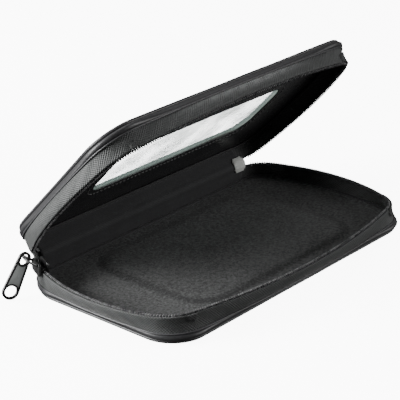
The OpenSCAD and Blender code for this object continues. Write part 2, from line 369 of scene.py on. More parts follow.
def evenly(line, spacing, closed=True):
    """Points at equal steps along a line, each with the direction of the line there."""
    line = line + line[:1] if closed else line
    lengths = [(b - a).length for a, b in zip(line, line[1:])]
    total = sum(lengths)
    count = max(2, round(total / spacing))
    found, k, gone = [], 0, 0.0
    for n in range(count if closed else count + 1):
        want = total * n / count
        while k < len(lengths) - 1 and gone + lengths[k] < want:
            gone += lengths[k]
            k += 1
        along = (line[k + 1] - line[k]).normalized()
        found.append((line[k] + along * (want - gone), along))
    return found


def stitch_row(name, line, lift, side):
    points, faces = [], []
    for at, along in evenly(line, STITCH):
        out = UP.cross(along)
        rings = []
        for run, fat in STITCH_SHAPE:
            sink = lift * (1.8 * (abs(run) * 2) ** 3 - 0.4) * THREAD_R
            middle = at + along * run * STITCH * STITCH_SHARE + UP * sink
            rings.append([middle + (out * cos(a) + UP * sin(a)) * THREAD_R * fat for a in turns(6)])
        stitch_points, stitch_faces = loft(rings, ends=True)
        faces += [tuple(i + len(points) for i in face) for face in stitch_faces]
        points += stitch_points
    settle(new_mesh(name, points, faces, THREAD_FINISH), side, slot="zip_coil")


for side in ("base", "lid"):
    stitch_row(side + "_flange_stitches", panel_ring(PANEL, -STITCH_IN, 0.3 * mm), 1, side)
stitch_row("window_stitches_outside", panel_ring(WINDOW, WINDOW_STITCH_OUT[0], 1.95 * mm), 1, "lid")

# ---------------------------------------------------------------- piping
# A thin leatherette piping is sewn into the seam between each cover and the zip tape.
PIPING_R = 0.5 * mm
PIPING_IN = 0.55 * mm
TUBE_SIDES = 10


def tube_round(line, radius, flat=1.0):
    """A tube along a closed line of points that lies level, squeezed to flat in its height."""
    rings = []
    for i, p in enumerate(line):
        along = (line[(i + 1) % len(line)] - line[i - 1]).normalized()
        out = along.cross(UP)
        rings.append([p + out * cos(a) * radius + UP * sin(a) * radius * flat for a in turns(TUBE_SIDES)])
    return loft(rings, joined=True)


PIPING_FINISH = leatherette("piping_leatherette", 0.03, 0.36)
for side in ("base", "lid"):
    points, faces = tube_round(panel_ring(PANEL, -PIPING_IN, COVER_T - PIPING_R), PIPING_R)
    settle(new_mesh(side + "_piping_cord", points, faces, PIPING_FINISH), side,
           side + "_piping", slot="leatherette")

# ---------------------------------------------------------------- zip tape
# Woven polyester tape, sewn into the seam all round. It leans outwards from the straight
# panel edge to the bowed zip line and stands upright where the coil is stitched to it.
SIDE_C, SIDE_R = Vector((-1.25, 0, 0)) * mm, 92.5 * mm
FRONT_R, FRONT_BOW = 303 * mm, 6.5 * mm
FRONT_C = Vector((0, FRONT_R - PANEL[1] - FRONT_BOW, 0))
BEND_R = 20 * mm
LEFT_END, RIGHT_END = radians(28), radians(24)
RIM_H = HINGE.z
TAPE_TOP = RIM_H - 1.0 * mm
TAPE_T = 0.6 * mm
COIL_H = 1.6 * mm
TAPE_LEVELS = 16
TAPE_FOOT = 3.5 * mm  # turned inwards under the lining
CLEAR = 0.05 * mm  # kept between each half and the plane where they meet, laid flat
ARC_STEPS = (16, 70, 34, 80)  # steps along the back bend, side bow, front bend and front bow


def arc(centre, radius, way, start, stop, steps):
    """Points on an arc whose angle starts at +Y and turns to the left (-1) or right (1)."""
    angles = [start + (stop - start) * k / steps for k in range(steps)]
    return [centre + Vector((way * sin(a), cos(a), 0)) * radius for a in angles]


def bend_centre(way):
    """Centre of a front bend, which touches the side bow and the front bow from inside."""
    near, far = SIDE_R - BEND_R, FRONT_R - BEND_R
    apart = FRONT_C - SIDE_C
    reach = apart.length
    run = (near ** 2 - far ** 2 + reach ** 2) / (2 * reach)
    aim = apart / reach
    return SIDE_C + aim * run - Vector((-aim.y, aim.x, 0)) * (way * (near ** 2 - run ** 2) ** 0.5)


def angle_of(v):
    return acos(v.y / v.length)


def half_zip_line(way, end, inset):
    side_end = SIDE_C + Vector((way * cos(end), sin(end), 0)) * SIDE_R
    back_r = (HINGE.y - side_end.y) / (1 - sin(end))
    back_c = side_end - Vector((way * cos(end), sin(end), 0)) * back_r
    centre = bend_centre(way)
    to_side, to_front = angle_of(centre - SIDE_C), angle_of(centre - FRONT_C)
    return (arc(back_c, back_r - inset, way, 0, pi / 2 - end, ARC_STEPS[0])
            + arc(SIDE_C, SIDE_R - inset, way, pi / 2 - end, to_side, ARC_STEPS[1])
            + arc(centre, BEND_R - inset, way, to_side, to_front, ARC_STEPS[2])
            + arc(FRONT_C, FRONT_R - inset, way, to_front, pi, ARC_STEPS[3]))


def zip_line(inset, z=0.0):
    """The bowed line of the zip, from the left end of the hinge round to its right end."""
    middle = Vector((0, -PANEL[1] - FRONT_BOW + inset, 0))
    line = half_zip_line(-1, LEFT_END, inset) + [middle] + half_zip_line(1, RIGHT_END, inset)[::-1]
    return [p + Vector((0, 0, z)) for p in line]


def seam_near(p, inset):
    """The point of the panel's edge, inset further in, that lies nearest to p."""
    reach = (PANEL[0] - PANEL[2], PANEL[1] - PANEL[2])
    centre = Vector((max(-reach[0], min(reach[0], p.x)), max(-reach[1], min(reach[1], p.y)), 0))
    return centre + (Vector((p.x, p.y, 0)) - centre).normalized() * (PANEL[2] - inset)


def tape_line(height, inset):
    """A line along the tape at one height above the table, inset from its outer face."""
    rise = max(0.0, min(1.0, (height - COVER_T) / (TAPE_TOP - COIL_H - COVER_T)))
    lean = sin(pi / 2 * rise)
    line = []
    for rim in zip_line(0):
        seam = seam_near(rim, 0)
        slack = 0.35 * mm * sin(pi * rise) * noise.noise(Vector((rim.x * 26, rim.y * 26, height * 60)))
        p = seam.lerp(rim, lean)
        out = (p - seam_near(p, 2 * mm)).normalized()
        p += out * (slack - inset)
        line.append(Vector((p.x, min(p.y, HINGE.y - CLEAR), height)))
    return line


def tape_finish():
    finish = Finish("woven_zip_tape", Sheen_Weight=0.15, Sheen_Roughness=0.35, Specular_IOR_Level=0.4)
    along, across = finish.measure("along"), finish.measure("across")
    uneven = finish.grain(160, 2) * 1.6
    twill = ((along + across) * (tau / (1.5 * mm)) + uneven).wave()
    ribs = (along * (tau / (1.3 * mm)) + uneven).wave()
    rows = (across * (tau / (1.2 * mm)) + uneven).wave()
    weave = twill * 0.25 + ribs * rows * 0.75
    fuzz, broad = finish.grain(900, 3), finish.grain(35, 2)
    # The tape's inner face is coloured darker than its outer face: painted shade inside the case.
    painted_light = 1 - finish.measure("inner_face") * 0.6
    share = finish.clamped((weave * 0.34 + fuzz * 0.6 + broad * 0.35) * painted_light, 0.0, 1.0)
    finish.colour(finish.mixed(share, (0.008, 0.0083, 0.0082, 1), (0.085, 0.09, 0.088, 1)))
    finish.rough(0.52 - weave * 0.08 + fuzz * 0.1)
    finish.relief(weave * 0.8 + fuzz * 0.4, 0.2 * mm, 0.8)
    return finish.material


TAPE_FINISH = tape_finish()


def keep_measure(piece, name, values):
    layer = piece.data.attributes.new(name, "FLOAT", "POINT")
    layer.data.foreach_set("value", values)


def distances(line):
    gone, found = 0.0, [0.0]
    for a, b in zip(line, line[1:]):
        gone += (b - a).length
        found.append(gone)
    return found


def closed_sheet(upper, lower):
    """The points and faces of a thin sheet between two grids of points, with its edges closed."""
    rows, count = len(upper), len(upper[0])
    points, faces = loft(upper + lower[::-1], closed=False, joined=True)
    for k in range(rows - 1):
        for i in (0, count - 1):
            near, far = k * count + i, (2 * rows - 1 - k) * count + i
            edge = (near, near + count, far - count, far)
            faces.append(edge if i == 0 else edge[::-1])
    return points, faces


def zip_tape(side):
    top = TAPE_TOP - 0.4 * mm
    heights = [COVER_T + (top - COVER_T) * k / (TAPE_LEVELS - 1) for k in range(TAPE_LEVELS)]
    outer = [tape_line(h, 0.0) for h in heights]
    inner = [tape_line(h, TAPE_T) for h in heights]
    turned_in = tape_line(COVER_T, TAPE_FOOT)
    points, faces = closed_sheet([turned_in] + outer,
                                 [[p + Vector((0, 0, 0.5 * mm)) for p in turned_in]] + inner)
    piece = new_mesh(side + "_zip_tape", points, faces, TAPE_FINISH)
    run = distances(outer[-1])
    across = [0.0] + [h - COVER_T for h in heights]
    keep_measure(piece, "along", run * (2 * len(across)))
    keep_measure(piece, "across", [a for a in across + across[::-1] for _ in run])
    keep_measure(piece, "inner_face", [face for face in (0.0, 1.0) for _ in across for _ in run])
    settle(piece, side, side + "_tape", slot="zip_tape")


for side in ("base", "lid"):
    zip_tape(side)

# ---------------------------------------------------------------- edge welts
# On the three zip sides the cover's leatherette turns up over the seam onto the foot of the
# tape, and a second fine piping finishes its edge there.
# The height over the table and how far it stands out from the tape, line by line.
WELT = [(2.2, 0.0), (2.5, 0.4), (3.0, 0.7), (3.7, 0.8), (4.3, 0.7), (4.7, 0.45), (4.8, 0.1)]
WELT_PIPING_Z, WELT_PIPING_OUT, WELT_PIPING_R = 5.15 * mm, 0.3 * mm, 0.42 * mm


def tube(path, sides, radius, around):
    """A round tube along an open path; sides gives a direction across the path at each point."""
    rings = []
    for i, p in enumerate(path):
        along = (path[min(i + 1, len(path) - 1)] - path[max(i - 1, 0)]).normalized()
        first = (sides[i] - along * sides[i].dot(along)).normalized()
        second = along.cross(first)
        rings.append([p + (first * cos(a) + second * sin(a)) * radius for a in turns(around)])
    return loft(rings, ends=True)


def edge_welt(side):
    outer = [tape_line(height * mm, -out * mm) for height, out in WELT]
    inner = [tape_line(height * mm, 0.2 * mm) for height, _ in WELT]
    points, faces = closed_sheet(outer, inner)
    settle(new_mesh(side + "_edge_welt", points, faces, COVER_FINISH), side, slot="leatherette")
    far_back = HINGE.y - WELT_PIPING_R - CLEAR
    line = [Vector((p.x, min(p.y, far_back), p.z)) for p in tape_line(WELT_PIPING_Z, -WELT_PIPING_OUT)]
    points, faces = tube(line, [UP] * len(line), WELT_PIPING_R, TUBE_SIDES)
    settle(new_mesh(side + "_welt_piping", points, faces, PIPING_FINISH), side, slot="leatherette")


for side in ("base", "lid"):
    edge_welt(side)

# ---------------------------------------------------------------- zip coils
# Each coil is one black nylon line wound flat round a cord and sewn to the inner face of
# the tape. Moulded stops close it off at both ends of the hinge.
COIL_PITCH = 1.25 * mm
COIL_WIRE = 0.27 * mm
COIL_HALF = (0.42 * mm, 0.72 * mm)
COIL_CORD_R = 0.3 * mm
COIL_FROM, COIL_TO = 8, -6  # the coil runs between these points of the zip line


def coil_finish():
    finish = Finish("nylon_coil", Specular_IOR_Level=0.5)
    # Random lighter patches on the black nylon are painted glints on the coil's heads.
    glint_speckle = finish.grain(700, 2)
    painted_light = finish.clamped(glint_speckle, 0.35, 0.65)
    finish.colour(finish.mixed(painted_light, (0.01, 0.01, 0.011, 1), (0.16, 0.16, 0.162, 1)))
    finish.rough(0.3 + glint_speckle * 0.2)
    finish.relief(glint_speckle, 0.03 * mm, 0.4)
    return finish.material


COIL_FINISH = coil_finish()


def zip_coil(side):
    centre = zip_line(TAPE_T + COIL_HALF[0] + COIL_WIRE, TAPE_TOP - 0.25 * mm)[COIL_FROM:COIL_TO]
    per_turn = 10
    path, sides = [], []
    for k, (at, along) in enumerate(evenly(centre, COIL_PITCH / per_turn, closed=False)):
        out = along.cross(UP)
        a = tau * k / per_turn
        path.append(at + out * cos(a) * COIL_HALF[0] + UP * sin(a) * COIL_HALF[1])
        sides.append(along)
    points, faces = tube(path, sides, COIL_WIRE, 6)
    cord_points, cord_faces = tube(centre, [UP] * len(centre), COIL_CORD_R, 6)
    faces += [tuple(i + len(points) for i in face) for face in cord_faces]
    piece = new_mesh(side + "_zip_coil", points + cord_points, faces, COIL_FINISH)
    settle(piece, side, side + "_coil", slot="zip_coil")


def dress(node, material):
    """Gives a CAD node that keeps its own shape its material."""
    piece = frame["nodes"][node]
    if piece.material_slots:
        piece.material_slots[0].material = material
    else:
        piece.data.materials.append(material)


for side in ("base", "lid"):
    zip_coil(side)
    dress(side + "_start_stop", COIL_FINISH)
    dress(side + "_end_stop", COIL_FINISH)

# ---------------------------------------------------------------- closed end of the zip
# Between the hinge and the slider the zip is done up, so its two tapes and coils join in
# one soft web across the left end of the fold.
WEB_ROWS = 14
WEB_POINTS = 19  # of the zip line, from the hinge to the slider


def zip_web():
    rim = zip_line(0.25 * mm, TAPE_TOP - 1.2 * mm)[:WEB_POINTS]
    inner = zip_line(1.0 * mm, TAPE_TOP - 1.2 * mm)[:WEB_POINTS]
    for line in (rim, inner):
        line[:0] = [line[0] + Vector((step, 0, 0)) * mm for step in (5, 3.5, 2, 1)]
    sheets = []
    for line in (rim, inner):
        sheet = []
        for r in range(WEB_ROWS + 1):
            v = r / WEB_ROWS
            row = []
            for k, p in enumerate(line):
                out = (rim[k] - inner[k]).normalized()
                ridge = max(0.0, 1 - abs(v - 0.5) * 9) * 0.5 * mm
                fold = -0.9 * mm * sin(pi * v) * k / len(line) + ridge
                row.append(p.lerp(TO_LID @ p, v) + out * (fold - 0.1 * mm * sin(k * 1.9)))
            sheet.append(row)
        sheets.append(sheet)
    points, faces = closed_sheet(*sheets)
    piece = new_mesh("zip_web", points, faces, TAPE_FINISH)
    keep_measure(piece, "along", distances(rim) * (2 * WEB_ROWS + 2))
    rows = [9 * mm * r / WEB_ROWS for r in range(WEB_ROWS + 1)]
    keep_measure(piece, "across", [r for r in rows + rows[::-1] for _ in rim])
    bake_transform(piece)


zip_web()

# ---------------------------------------------------------------- spine
# One piece of leatherette joins the covers along the back and folds at the hinge. A strip
# of ribbon cloth lines it, sewn down at both seams.
SPINE_Y = HINGE.y - 0.2 * mm
SPINE_T = 0.8 * mm
FOLD = 2.2 * mm
SPINE_ROWS, SPINE_COLUMNS = 44, 90


def swung(p, share):
    """A point of the shut case, turned about the hinge by a share of the lid's opening."""
    return HINGE + Matrix.Rotation(-LID_OPEN * share, 3, "X") @ (p - HINGE)


def fold_share(rise):
    """0 below the fold, 1 above it; rise is the height over the hinge in the shut case."""
    t = max(0.0, min(1.0, 0.5 + rise / (2 * FOLD)))
    return t * t * (3 - 2 * t)


def spine_line(rise, depth, ripple):
    """A line along the hinge at one height over it in the shut case, depth inside the spine."""
    line = zip_line(0)
    ends = (line[0].x + 0.3 * mm, line[-1].x + 0.3 * mm)
    full = RIM_H - COVER_T
    low = abs(rise) / full
    found = []
    for k in range(SPINE_COLUMNS + 1):
        x = ends[0] + (ends[1] - ends[0]) * k / SPINE_COLUMNS
        seam = seam_near(Vector((x, HINGE.y, 0)), 0)
        y = SPINE_Y + (seam.y - SPINE_Y) * low ** 2
        x += (seam.x - x) * low ** 2
        slack = ripple * noise.noise(Vector((x * 45, rise * 160, depth * 900))) * (1 - low ** 2)
        found.append(swung(Vector((x, y - depth - abs(slack), RIM_H + rise)), fold_share(rise)))
    return found


def spine_sheet(name, outer, thickness, ripple, material, slot, *nodes):
    full = RIM_H - COVER_T - (0.0 if outer == 0 else 0.6 * mm)
    rises = [full * (2 * k / SPINE_ROWS - 1) for k in range(SPINE_ROWS + 1)]
    points, faces = closed_sheet([spine_line(r, outer, ripple) for r in rises],
                                 [spine_line(r, outer + thickness, ripple) for r in rises])
    piece = new_mesh(name, points, [f[::-1] for f in faces], material)
    keep_measure(piece, "along", [p.x for p in points])
    keep_measure(piece, "across", [r for r in rises + rises[::-1] for _ in range(SPINE_COLUMNS + 1)])
    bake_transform(piece)
    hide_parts(*nodes)


def ribbon_cloth(name, dark, light, pitch):
    finish = Finish(name, Roughness=0.75, Sheen_Weight=0.1, Sheen_Roughness=0.45, Specular_IOR_Level=0.3)
    along, across = finish.measure("along"), finish.measure("across")
    ribs = (along * (tau / pitch)).wave()
    rows = (across * (tau / (pitch * 0.8))).wave()
    fuzz = finish.grain(1300, 3)
    broad = finish.grain(90, 2)
    share = finish.clamped(ribs * 0.25 + rows * 0.15 + fuzz * 0.5 + broad * 0.4, 0.1, 0.9)
    finish.colour(finish.mixed(share, dark, light))
    finish.relief(ribs * 0.6 + rows * 0.3 + fuzz * 0.4, 0.08 * mm, 0.6)
    return finish.material


BINDING_FINISH = ribbon_cloth("binding_ribbon", (0.008, 0.008, 0.0085, 1), (0.032, 0.032, 0.034, 1),
                              0.7 * mm)
SPINE_FINISH = leatherette("spine_leatherette", 0.016, 0.45)
spine_sheet("spine_skin", 0.0, SPINE_T, 0.15 * mm, SPINE_FINISH, "leatherette",
            "base_spine", "lid_spine")
spine_sheet("spine_ribbon_lining", SPINE_T + 0.05 * mm, 0.5 * mm, 0.35 * mm, BINDING_FINISH, "binding",
            "base_spine_lining", "lid_spine_lining")

# ---------------------------------------------------------------- linings
# The base is lined with brushed cloth over a foam pad that stands a little proud of the
# floor. The lid is lined with smooth leatherette, turned in and stitched round the window.
BOARD_T, LINING_T = 1.0 * mm, 0.8 * mm
FLOOR_Z = COVER_T + BOARD_T + LINING_T
PAD = (57 * mm, 35.5 * mm, 15 * mm)
PAD_AT = Vector((2, 0.5, 0)) * mm
PAD_RISE = 1.0 * mm
WALL_IN = TAPE_T + 0.9 * mm


def wall_line(height, inset):
    """The closed line round the inside of the walls, from the tape's left end round and back."""
    front = tape_line(height, inset)
    y = SPINE_Y - SPINE_T - inset + 0.2 * mm
    ends = Vector((front[-1].x, y, height)), Vector((front[0].x, y, height))
    return front + [ends[0].lerp(ends[1], k / 60) for k in range(1, 60)]


def fleece():
    finish = Finish("brushed_lining", Roughness=0.95, Sheen_Weight=0.1, Sheen_Roughness=0.5,
                    Specular_IOR_Level=0.15)
    fibre = finish.grain(1500, 4, 0.7)
    tuft = finish.grain(750, 2, 0.6)
    patch = finish.grain(30, 2)
    pad_top_share = finish.measure("pad_share")
    pad_edge_shade = pad_top_share * (1 - pad_top_share) * 4
    # The cloth is coloured darker on the slope round the pad: painted shade in the crease at its edge.
    share = finish.clamped(fibre * 0.3 + tuft * 0.6 + patch * 0.2 - pad_edge_shade * 0.09, 0.42, 0.7)
    finish.colour(finish.mixed(share, (0.01, 0.01, 0.0103, 1), (0.075, 0.077, 0.076, 1)))
    finish.relief(fibre * 0.6 + tuft * 0.8, 0.28 * mm, 0.8)
    return finish.material


def pad_share(p):
    """1 on top of the foam pad, 0 on the floor round it, with a soft slope between them."""
    away = p - PAD_AT
    reach = (abs(away.x) - PAD[0] + PAD[2], abs(away.y) - PAD[1] + PAD[2])
    outside = hypot(max(reach[0], 0), max(reach[1], 0)) + min(max(reach), 0) - PAD[2]
    t = max(0.0, min(1.0, 0.5 - outside / (7 * mm)))
    return t * t * (3 - 2 * t)


def evenly_spaced(line, count):
    """count points at equal steps along an open line, both ends included."""
    gone = distances(line)
    found, k = [], 0
    for n in range(count):
        want = gone[-1] * n / (count - 1)
        while k < len(line) - 2 and gone[k + 1] < want:
            k += 1
        found.append(line[k].lerp(line[k + 1], min(1.0, (want - gone[k]) / (gone[k + 1] - gone[k]))))
    return found


def patch_within(outline, corners, rows, columns):
    """A grid of points that fills a closed outline, given the places of its four corners.

    The corners are the back left, front left, front right and back right, in that order."""
    a, b, c, d = corners
    left = evenly_spaced(outline[a:b + 1][::-1], rows)
    front = evenly_spaced(outline[b:c + 1], columns)
    right = evenly_spaced(outline[c:d + 1], rows)
    back = evenly_spaced((outline[d:] + outline[:1])[::-1], columns)
    grid = []
    for r in range(rows):
        v = r / (rows - 1)
        row = []
        for k in range(columns):
            u = k / (columns - 1)
            straight = (front[0].lerp(front[-1], u)).lerp(back[0].lerp(back[-1], u), v)
            row.append(front[k].lerp(back[k], v) + left[r].lerp(right[r], u) - straight)
        grid.append(row)
    return grid


def puff(grid, held, pressure, most, frames=10):
    """The grid as cloth over air pressure, pinned where held is 1; no point moves over most."""
    points, faces = loft(grid, closed=False)
    sheet = new_mesh("cloth_at_rest", points, faces, FLEECE)
    group = sheet.vertex_groups.new(name="held")
    for i, weight in enumerate(held):
        group.add([i], weight, "REPLACE")
    cloth = sheet.modifiers.new("air", "CLOTH")
    cloth.settings.vertex_group_mass = "held"
    cloth.settings.quality = 4
    cloth.settings.use_pressure = True
    cloth.settings.uniform_pressure_force = pressure
    cloth.settings.tension_stiffness = 20
    cloth.settings.bending_stiffness = 0.3
    cloth.settings.effector_weights.gravity = 0
    cloth.point_cache.frame_start, cloth.point_cache.frame_end = 1, frames
    for step in range(1, frames + 1):
        bpy.context.scene.frame_set(step)
    shaped = sheet.evaluated_get(bpy.context.evaluated_depsgraph_get()).to_mesh()
    shifts = [v.co - p for v, p in zip(shaped.vertices, points)]
    bpy.data.objects.remove(sheet)
    bpy.context.scene.frame_set(1)
    moved = [p + shift * min(1.0, most / max(shift.length, 1e-9)) for p, shift in zip(points, shifts)]
    count = len(grid[0])
    return [moved[k:k + count] for k in range(0, len(moved), count)]


FLEECE = fleece()
FLOOR_ROWS, FLOOR_COLUMNS = 76, 130
PUFF_PRESSURE, PUFF_MOST = 1.5, 0.6 * mm


def floor_lining():
    last = 2 * sum(ARC_STEPS)
    corner = ARC_STEPS[0] + ARC_STEPS[1] + ARC_STEPS[2] // 2
    grid = patch_within(wall_line(FLOOR_Z, WALL_IN), (0, corner, last - corner, last),
                        FLOOR_ROWS, FLOOR_COLUMNS)
    held = []
    for r, row in enumerate(grid):
        for k, p in enumerate(row):
            inset = min(r, FLOOR_ROWS - 1 - r, k, FLOOR_COLUMNS - 1 - k)
            cove = 1.0 * mm * max(0.0, 1 - inset / 2) ** 2
            soft = noise.noise(Vector((p.x * 24, p.y * 24, 0.3))) * 0.2 * mm
            fine = noise.noise(Vector((p.x * 75, p.y * 75, 4.1))) * 0.08 * mm
            share = pad_share(p)
            p.z = FLOOR_Z + cove + (soft + fine) * min(1, inset / 3) + PAD_RISE * 0.8 * share
            held.append(1.0 if inset < 2 else min(0.9, 3.2 * share * (1 - share)))
    grid = puff(grid, held, PUFF_PRESSURE, PUFF_MOST)
    under = [[Vector((p.x, p.y, FLOOR_Z - LINING_T + 0.1 * mm)) for p in row] for row in grid]
    points, faces = closed_sheet(grid, under)
    piece = new_mesh("base_floor_lining", points, faces, FLEECE)
    keep_measure(piece, "pad_share", [pad_share(p) for p in points])
    settle(piece, "base", "base_lining", slot="fleece")


def lid_lining():
    rings = [panel_ring(PANEL, -grow * mm, z * mm)
             for grow, z in ((3.2, 4.15), (1.3, 4.2), (0.7, 4.6), (1.2, 4.95), (3.0, 4.92))]
    turned = [panel_ring(WINDOW, grow * mm, z * mm) for grow, z in
              ((7.5, 4.9), (4.4, 4.88), (3.6, 4.76), (3.2, 4.72), (2.8, 4.76), (2.0, 4.9), (1.2, 4.92),
               (0.4, 4.85), (0.0, 4.66), (0.1, 4.55), (1.0, 4.52), (5.4, 4.52), (5.6, 4.15))]
    rings += [between(rings[-1], turned[0], k / 9) for k in range(1, 9)] + turned
    points, faces = loft(rings, joined=True)
    for p in points:
        if p.z > 4.8 * mm:
            p.z += 0.22 * mm * noise.noise(Vector((p.x * 30, p.y * 30, 7.7)))
    piece = new_mesh("lid_inner_lining", points, [f[::-1] for f in faces],
                     leatherette("smooth_leatherette", 0.008, 0.27))
    settle(piece, "lid", "lid_lining", slot="lid_lining")


floor_lining()
lid_lining()
stitch_row("window_stitches_inside", panel_ring(WINDOW, WINDOW_STITCH_OUT[1], 4.85 * mm), -1, "lid")

# ---------------------------------------------------------------- seam binding
# A narrow woven ribbon is sewn over the raw seam where the walls meet the floor of each
# half, and shows as a fine raised line all round.
BINDING_R = 1.0 * mm
BINDING_FLAT = 0.62


def seam_binding(side):
    line = wall_line(FLOOR_Z + 0.55 * mm, TAPE_T + 0.75 * mm)
    points, faces = tube_round(line, BINDING_R, BINDING_FLAT)
    piece = new_mesh(side + "_seam_binding", points, faces, BINDING_FINISH)
    run = distances(line)
    keep_measure(piece, "along", [d for d in run for _ in range(TUBE_SIDES)])
    keep_measure(piece, "across", [k / TUBE_SIDES * 4 * mm for _ in run for k in range(TUBE_SIDES)])
    settle(piece, side, side + "_binding", slot="binding")


for side in ("base", "lid"):
    seam_binding(side)

# ---------------------------------------------------------------- window film
# Clear soft film, laid on the board behind the lid's lining and sewn in with it. It is a
# little slack, so it ripples.
FILM_LAP = 5 * mm
FILM_ROWS, FILM_COLUMNS = 30, 80


def film_finish():
    finish = Finish("clear_film", Roughness=0.07, Specular_IOR_Level=0.6, IOR=1.5)
    haze = finish.grain(45, 3)
    finish.colour(finish.mixed(haze, (0.62, 0.80, 0.74, 1), (0.86, 0.97, 0.93, 1)))
    finish.feed(finish.shader.inputs["Alpha"], 0.36 + finish.clamped(haze, 0.3, 0.7) * 0.4)
    finish.relief(finish.grain(28, 2), 0.6 * mm, 0.35)
    return finish.material


def grid_of(rows, columns, place, layer):
    """place(u, v, layer) over a grid; u runs along each row and v across, both from -1 to 1."""
    return [[place(2 * k / columns - 1, 2 * r / rows - 1, layer) for k in range(columns + 1)]
            for r in range(rows + 1)]


def film_point(u, v, lift):
    reach = (WINDOW[0] + FILM_LAP, WINDOW[1] + FILM_LAP)
    free = min(1.0, 4 * (1 - abs(u)), 3 * (1 - abs(v)))
    ripple = noise.noise(Vector((u * reach[0] * 24, v * reach[1] * 50 + u * 0.9, 2.2)))
    return Vector((u * reach[0], v * reach[1], lift + ripple * 0.7 * mm * free))


def window_film():
    sheets = [grid_of(FILM_ROWS, FILM_COLUMNS, film_point, lift) for lift in (4.4 * mm, 4.2 * mm)]
    points, faces = closed_sheet(*sheets)
    settle(new_mesh("window_film", points, faces, film_finish()), "lid", "lid_window", slot="film")


window_film()

# ---------------------------------------------------------------- end ribbon
# A short pale ribbon is folded over the right end of the fold, inside the case, and
# bar-tacked there so that the zip's end can't tear the lining.
RIBBON_X = (62.6 * mm, 71.4 * mm)
RIBBON_HALF = 3.3 * mm
RIBBON_T = 0.45 * mm
RIBBON_ROWS, RIBBON_COLUMNS = 28, 16


def ribbon_point(u, v, layer):
    narrow = 1 - 0.32 * max(0.0, abs(v) - 0.45) / 0.55
    x = sum(RIBBON_X) / 2 + u * narrow * (RIBBON_X[1] - RIBBON_X[0]) / 2
    puffed = 0.9 * mm * (1 - u ** 4) * (1 - v * v) * (0.15 + 0.85 * min(1, abs(v) * 4))
    puffed += 0.12 * mm * noise.noise(Vector((x * 500, v * 3, 1)))
    p = Vector((x, SPINE_Y - SPINE_T - 0.6 * mm - puffed - layer, RIM_H + v * RIBBON_HALF))
    return swung(p, fold_share(v * RIBBON_HALF))


def end_ribbon():
    sheets = [grid_of(RIBBON_ROWS, RIBBON_COLUMNS, ribbon_point, layer) for layer in (0.0, RIBBON_T)]
    points, faces = closed_sheet(*sheets)
    finish = ribbon_cloth("pale_ribbon", (0.36, 0.37, 0.35, 1), (0.72, 0.73, 0.70, 1), 0.55 * mm)
    piece = new_mesh("end_ribbon", points, [f[::-1] for f in faces], finish)
    keep_measure(piece, "along", [p.x for p in points])
    keep_measure(piece, "across", [p.z for p in points])
    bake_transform(piece)
    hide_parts("base_ribbon", "lid_ribbon")


end_ribbon()

# ---------------------------------------------------------------- slider
# A die-cast slider in gloss black enamel runs on the base coil: two plates joined by a
# wedge at the nose, and a round bail cast on the outer plate.
SLIDER_AT = radians(24.5)
ALONG = Vector((sin(SLIDER_AT), cos(SLIDER_AT), 0))
OUT = Vector((-cos(SLIDER_AT), sin(SLIDER_AT), 0))
SLIDER = Matrix((ALONG, OUT, UP)).transposed().to_4x4()
SLIDER.translation = SIDE_C + OUT * SIDE_R
PLATE_HALF, PLATE_TAPER = (5.2 * mm, 3.6 * mm), 0.14
PLATE_T = 0.9 * mm
PLATE_AT = (0.8 * mm, -3.25 * mm)
WEDGE_T, WEDGE_AT = 3.6 * mm, -2.6 * mm
BAIL_R = 0.6 * mm
BAIL_REACH, BAIL_BEND = 3.6 * mm, 1.3 * mm
BAIL = Vector((0, 6.6 * mm, RIM_H + 5.4 * mm))


def enamel(name, dark, light, roughness):
    finish = Finish(name, Specular_IOR_Level=0.6, Coat_Weight=0.5, Coat_Roughness=0.12)
    wear = finish.grain(500, 4, 0.6)
    speck = finish.clamped(finish.cells(900), 0.05, 0.4)
    finish.colour(finish.mixed(wear * 0.7 + speck * 0.3, dark, light))
    finish.rough(roughness + wear * 0.15)
    finish.relief(wear, 0.03 * mm, 0.4)
    return finish.material


ENAMEL = enamel("black_enamel", (0.006, 0.006, 0.006, 1), (0.02, 0.02, 0.02, 1), 0.22)


def cut_plate(name, outlines, thickness, rounding, material, place):
    """A flat plate cut to outlines, the first the rim and the others holes, edges rounded."""
    data = bpy.data.curves.new(name, "CURVE")
    data.dimensions, data.fill_mode = "2D", "BOTH"
    data.extrude = thickness / 2 - rounding
    data.bevel_depth, data.bevel_resolution, data.offset = rounding, 2, -rounding
    for outline in outlines:
        spline = data.splines.new("POLY")
        spline.points.add(len(outline) - 1)
        for point, (x, y) in zip(spline.points, outline):
            point.co = (x, y, 0, 1)
        spline.use_cyclic_u = True
    shape = bpy.data.objects.new(name, data)
    bpy.context.collection.objects.link(shape)
    mesh = bpy.data.meshes.new_from_object(shape.evaluated_get(bpy.context.evaluated_depsgraph_get()))
    bpy.data.objects.remove(shape)
    bpy.data.curves.remove(data)
    mesh.name = name
    mesh.transform(place)
    mesh.polygons.foreach_set("use_smooth", [True] * len(mesh.polygons))
    mesh.set_sharp_from_angle(angle=radians(35))
    mesh.materials.clear()
    mesh.materials.append(material)
    return link_piece(name, mesh)


def shield():
    """The outline of a slider plate: nearly a rectangle with round corners, wider at its nose."""
    found = []
    for a in turns(64):
        x = PLATE_HALF[0] * abs(cos(a)) ** 0.45 * (1 if cos(a) > 0 else -1)
        y = PLATE_HALF[1] * abs(sin(a)) ** 0.45 * (1 if sin(a) > 0 else -1)
        found.append((x, y * (1 - PLATE_TAPER * (0.5 + x / (2 * PLATE_HALF[0])))))
    return found


def slider_piece(name, outline, thickness, rounding, y):
    lie_flat = Matrix(((1, 0, 0, 0), (0, 0, -1, y + thickness / 2), (0, 1, 0, RIM_H), (0, 0, 0, 1)))
    piece = cut_plate(name, [outline], thickness, rounding, ENAMEL, SLIDER @ lie_flat)
    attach(piece, "slider")
    return piece


